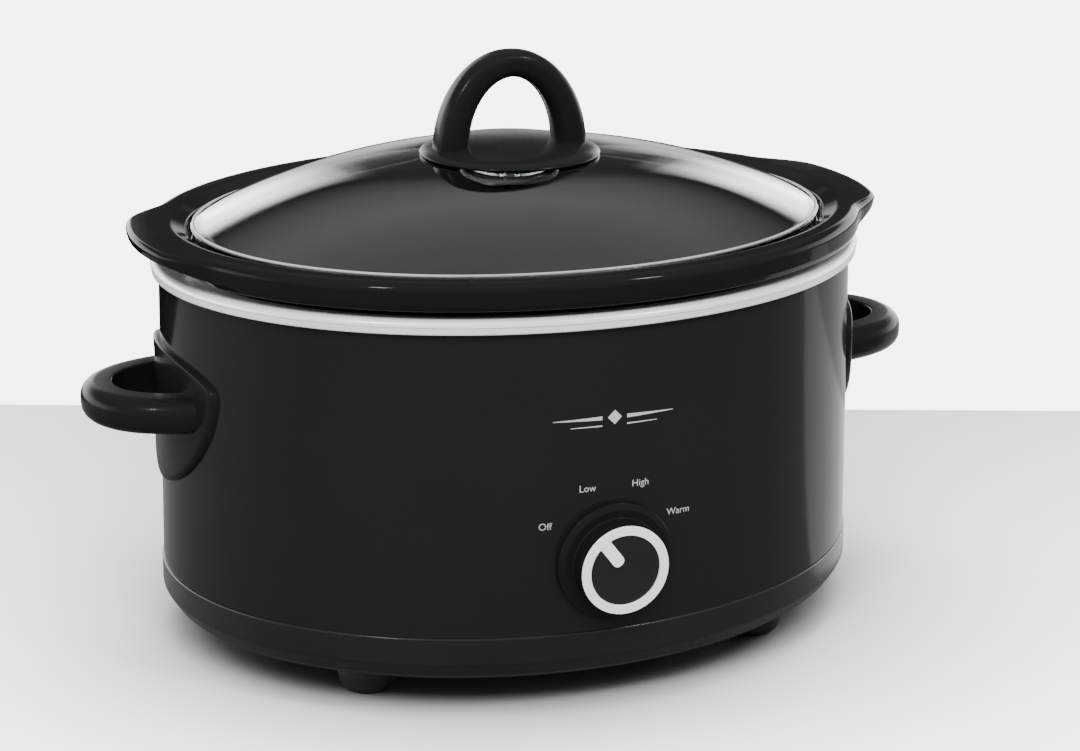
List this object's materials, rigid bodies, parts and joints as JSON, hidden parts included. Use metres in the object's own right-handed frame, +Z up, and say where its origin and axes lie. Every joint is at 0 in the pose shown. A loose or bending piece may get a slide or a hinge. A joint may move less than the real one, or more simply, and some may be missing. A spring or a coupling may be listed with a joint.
{
  "type": "oval slow cooker",
  "caption": "Oval slow cooker: painted heater body with side handles and rotary knob, lift-out glazed crock with end lugs, and a domed glass lid with a loop handle.",
  "frame": {"origin": "on the floor plane, under the middle of the object's box", "axes": "+X to the right seen from the knob side, along the oval's long way; -Y to the front, where the knob is; +Z up"},
  "size_m": [0.4262, 0.3, 0.2826],
  "materials": {
    "lid_glass": "clear tempered glass, polished",
    "handle_plastic": "black phenolic, glossy moulded",
    "glazed_stoneware": "black gloss glaze",
    "shell_paint": "black gloss enamel",
    "trim_silver": "satin silver",
    "liner_metal": "dull aluminised sheet",
    "heater_metal": "plain sheet, heat-toned",
    "tray_plastic": "charcoal moulded plastic, satin gloss",
    "foot_rubber": "matte rubber",
    "knob_plastic": "charcoal satin plastic",
    "knob_silver": "satin silver foil",
    "switch_plastic": "heat-resistant moulded plastic",
    "fastener_steel": "zinc-plated steel",
    "contact_brass": "plain stamped brass",
    "insert_brass": "turned brass",
    "seal_rubber": "silicone rubber",
    "lead_sleeve": "woven glass sleeve",
    "cap_plastic": "nylon",
    "fuse_sleeve": "glass-fibre sleeve",
    "bushing_plastic": "black nylon"
  },
  "bodies": {
    "base": {"outer_shell": "shell_paint", "trim_ring": "trim_silver", "heating_liner": "liner_metal", "heater_band": "heater_metal", "band_screw": "fastener_steel", "heater_tabs": "contact_brass", "thermal_fuse": "fuse_sleeve", "fuse_clip": "liner_metal", "base_tray": "tray_plastic", "base_screws": "fastener_steel", "tie_bracket_right": "liner_metal", "tie_bracket_left": "liner_metal", "cord_bushing": "bushing_plastic", "crimp_caps": "cap_plastic", "side_handle_right": "handle_plastic", "side_handle_left": "handle_plastic", "handle_washers": "fastener_steel", "handle_screws": "fastener_steel", "switch_case": "switch_plastic", "switch_cover": "switch_plastic", "switch_nut": "fastener_steel", "switch_terminals": "contact_brass", "spade_connectors": "contact_brass", "lead_low_heat": "lead_sleeve", "lead_high_heat": "lead_sleeve", "lead_fuse_to_switch": "lead_sleeve", "lead_supply_to_fuse": "lead_sleeve", "lead_neutral": "lead_sleeve", "foot_front_left": "foot_rubber", "foot_front_right": "foot_rubber", "foot_back_left": "foot_rubber", "foot_back_right": "foot_rubber"},
    "crock": {"crock": "glazed_stoneware"},
    "lid": {"lid_glass": "lid_glass", "lid_handle": "handle_plastic", "lid_handle_gasket": "seal_rubber", "lid_handle_insert": "insert_brass", "lid_handle_washer": "fastener_steel", "lid_handle_screw": "fastener_steel"},
    "knob": {"knob_body": "knob_plastic", "knob_trim": "knob_silver", "switch_rotor": "switch_plastic"}
  },
  "joints": [
    {"name": "crock_lift", "type": "slide", "parent": "base", "child": "crock", "axis": [0, 0, 1], "range_m": [0, 0.2]},
    {"name": "lid_lift", "type": "slide", "parent": "crock", "child": "lid", "axis": [0, 0, 1], "range_m": [0, 0.15]},
    {"name": "knob_turn", "type": "hinge", "parent": "base", "child": "knob", "pos_m": [0, -0.1496, 0.0727], "axis": [0, 1, 0], "range_deg": [-23, 97]}
  ]
}
